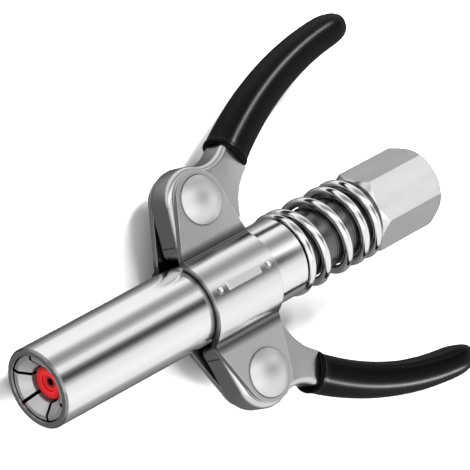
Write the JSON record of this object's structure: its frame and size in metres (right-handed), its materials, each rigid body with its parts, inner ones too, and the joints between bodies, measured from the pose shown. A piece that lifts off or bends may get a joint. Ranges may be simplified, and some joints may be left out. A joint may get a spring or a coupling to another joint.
{
  "type": "grease coupler",
  "caption": "Locking grease coupler: a straight sleeve with two squeeze levers draws back from a nose of jaws that grip a grease nipple; hexagon inlet with a threaded port behind.",
  "frame": {"origin": "centre of the inlet face at the back of the hexagon", "axes": "+X along the tube from the nose to the inlet, +Y towards the right lever, +Z square to the wings, up through the top saddle plate"},
  "size_m": [0.115, 0.0854, 0.0213],
  "materials": {
    "polished_steel": "polished",
    "plated_plate": "bright plated",
    "lever_steel": "satin plated",
    "rivet_steel": "satin",
    "hex_steel": "satin plated",
    "stem_steel": "turned",
    "spring_steel": "bright drawn",
    "jaw_steel": "hardened",
    "grip_plastic": "dipped, soft sheen",
    "seal_rubber": "smooth",
    "o_ring_rubber": "smooth",
    "brass": "turned",
    "ball_steel": "ground"
  },
  "bodies": {
    "inlet": {"inlet_hex": "hex_steel", "stem": "stem_steel", "jaw_holder": "stem_steel", "jaw_ring": "spring_steel", "check_seat": "brass", "main_spring": "spring_steel", "seal_spring": "spring_steel", "check_spring": "spring_steel"},
    "sleeve": {"sleeve": "polished_steel", "top_saddle_plate": "plated_plate", "bottom_saddle_plate": "plated_plate", "right_rivet": "rivet_steel", "left_rivet": "rivet_steel"},
    "right_lever": {"right_lever": "lever_steel", "right_grip": "grip_plastic"},
    "left_lever": {"left_lever": "lever_steel", "left_grip": "grip_plastic"},
    "seal": {"seal_carrier": "brass", "seal": "seal_rubber", "carrier_o_ring": "o_ring_rubber"},
    "check_ball": {"check_ball": "ball_steel"},
    "jaw_1": {"jaw_1": "jaw_steel"},
    "jaw_2": {"jaw_2": "jaw_steel"},
    "jaw_3": {"jaw_3": "jaw_steel"},
    "jaw_4": {"jaw_4": "jaw_steel"},
    "jaw_5": {"jaw_5": "jaw_steel"},
    "jaw_6": {"jaw_6": "jaw_steel"}
  },
  "joints": [
    {"name": "sleeve_slide", "type": "slide", "parent": "inlet", "child": "sleeve", "axis": [1, 0, 0], "range_m": [0, 0.0046], "stiffness_N_per_m": 3000, "springref_m": -0.008, "deforming": ["main_spring"]},
    {"name": "right_lever_pivot", "type": "hinge", "parent": "sleeve", "child": "right_lever", "pos_m": [-0.0611, 0.0199, 0], "axis": [0, 0, -1], "range_deg": [0, 18.1]},
    {"name": "left_lever_pivot", "type": "hinge", "parent": "sleeve", "child": "left_lever", "pos_m": [-0.0611, -0.0199, 0], "axis": [0, 0, 1], "range_deg": [0, 18.1]},
    {"name": "seal_slide", "type": "slide", "parent": "inlet", "child": "seal", "axis": [1, 0, 0], "range_m": [0, 0.0012], "stiffness_N_per_m": 500, "springref_m": -0.002, "deforming": ["seal_spring"]},
    {"name": "check_ball_lift", "type": "slide", "parent": "inlet", "child": "check_ball", "axis": [-1, 0, 0], "range_m": [0, 0.001], "stiffness_N_per_m": 50, "springref_m": -0.002, "deforming": ["check_spring"]},
    {"name": "jaw_1_rock", "type": "hinge", "parent": "inlet", "child": "jaw_1", "pos_m": [-0.0986, 0.00437, 0.00366], "axis": [0, 0.6428, -0.766], "range_deg": [0, 3.02]},
    {"name": "jaw_2_rock", "type": "hinge", "parent": "inlet", "child": "jaw_2", "pos_m": [-0.0986, 0.00536, -0.00195], "axis": [0, -0.342, -0.9397], "range_deg": [0, 3.02]},
    {"name": "jaw_3_rock", "type": "hinge", "parent": "inlet", "child": "jaw_3", "pos_m": [-0.0986, 0.00099, -0.00561], "axis": [0, -0.9848, -0.1736], "range_deg": [0, 3.02]},
    {"name": "jaw_4_rock", "type": "hinge", "parent": "inlet", "child": "jaw_4", "pos_m": [-0.0986, -0.00437, -0.00366], "axis": [0, -0.6428, 0.766], "range_deg": [0, 3.02]},
    {"name": "jaw_5_rock", "type": "hinge", "parent": "inlet", "child": "jaw_5", "pos_m": [-0.0986, -0.00536, 0.00195], "axis": [0, 0.342, 0.9397], "range_deg": [0, 3.02]},
    {"name": "jaw_6_rock", "type": "hinge", "parent": "inlet", "child": "jaw_6", "pos_m": [-0.0986, -0.00099, 0.00561], "axis": [0, 0.9848, 0.1736], "range_deg": [0, 3.02]}
  ],
  "couplings": [
    {"joint": "right_lever_pivot", "follows": "sleeve_slide", "rad_per_m": 68.4},
    {"joint": "left_lever_pivot", "follows": "sleeve_slide", "rad_per_m": 68.4},
    {"joint": "jaw_1_rock", "follows": "sleeve_slide", "rad_per_m": 11.383},
    {"joint": "jaw_2_rock", "follows": "sleeve_slide", "rad_per_m": 11.383},
    {"joint": "jaw_3_rock", "follows": "sleeve_slide", "rad_per_m": 11.383},
    {"joint": "jaw_4_rock", "follows": "sleeve_slide", "rad_per_m": 11.383},
    {"joint": "jaw_5_rock", "follows": "sleeve_slide", "rad_per_m": 11.383},
    {"joint": "jaw_6_rock", "follows": "sleeve_slide", "rad_per_m": 11.383}
  ]
}
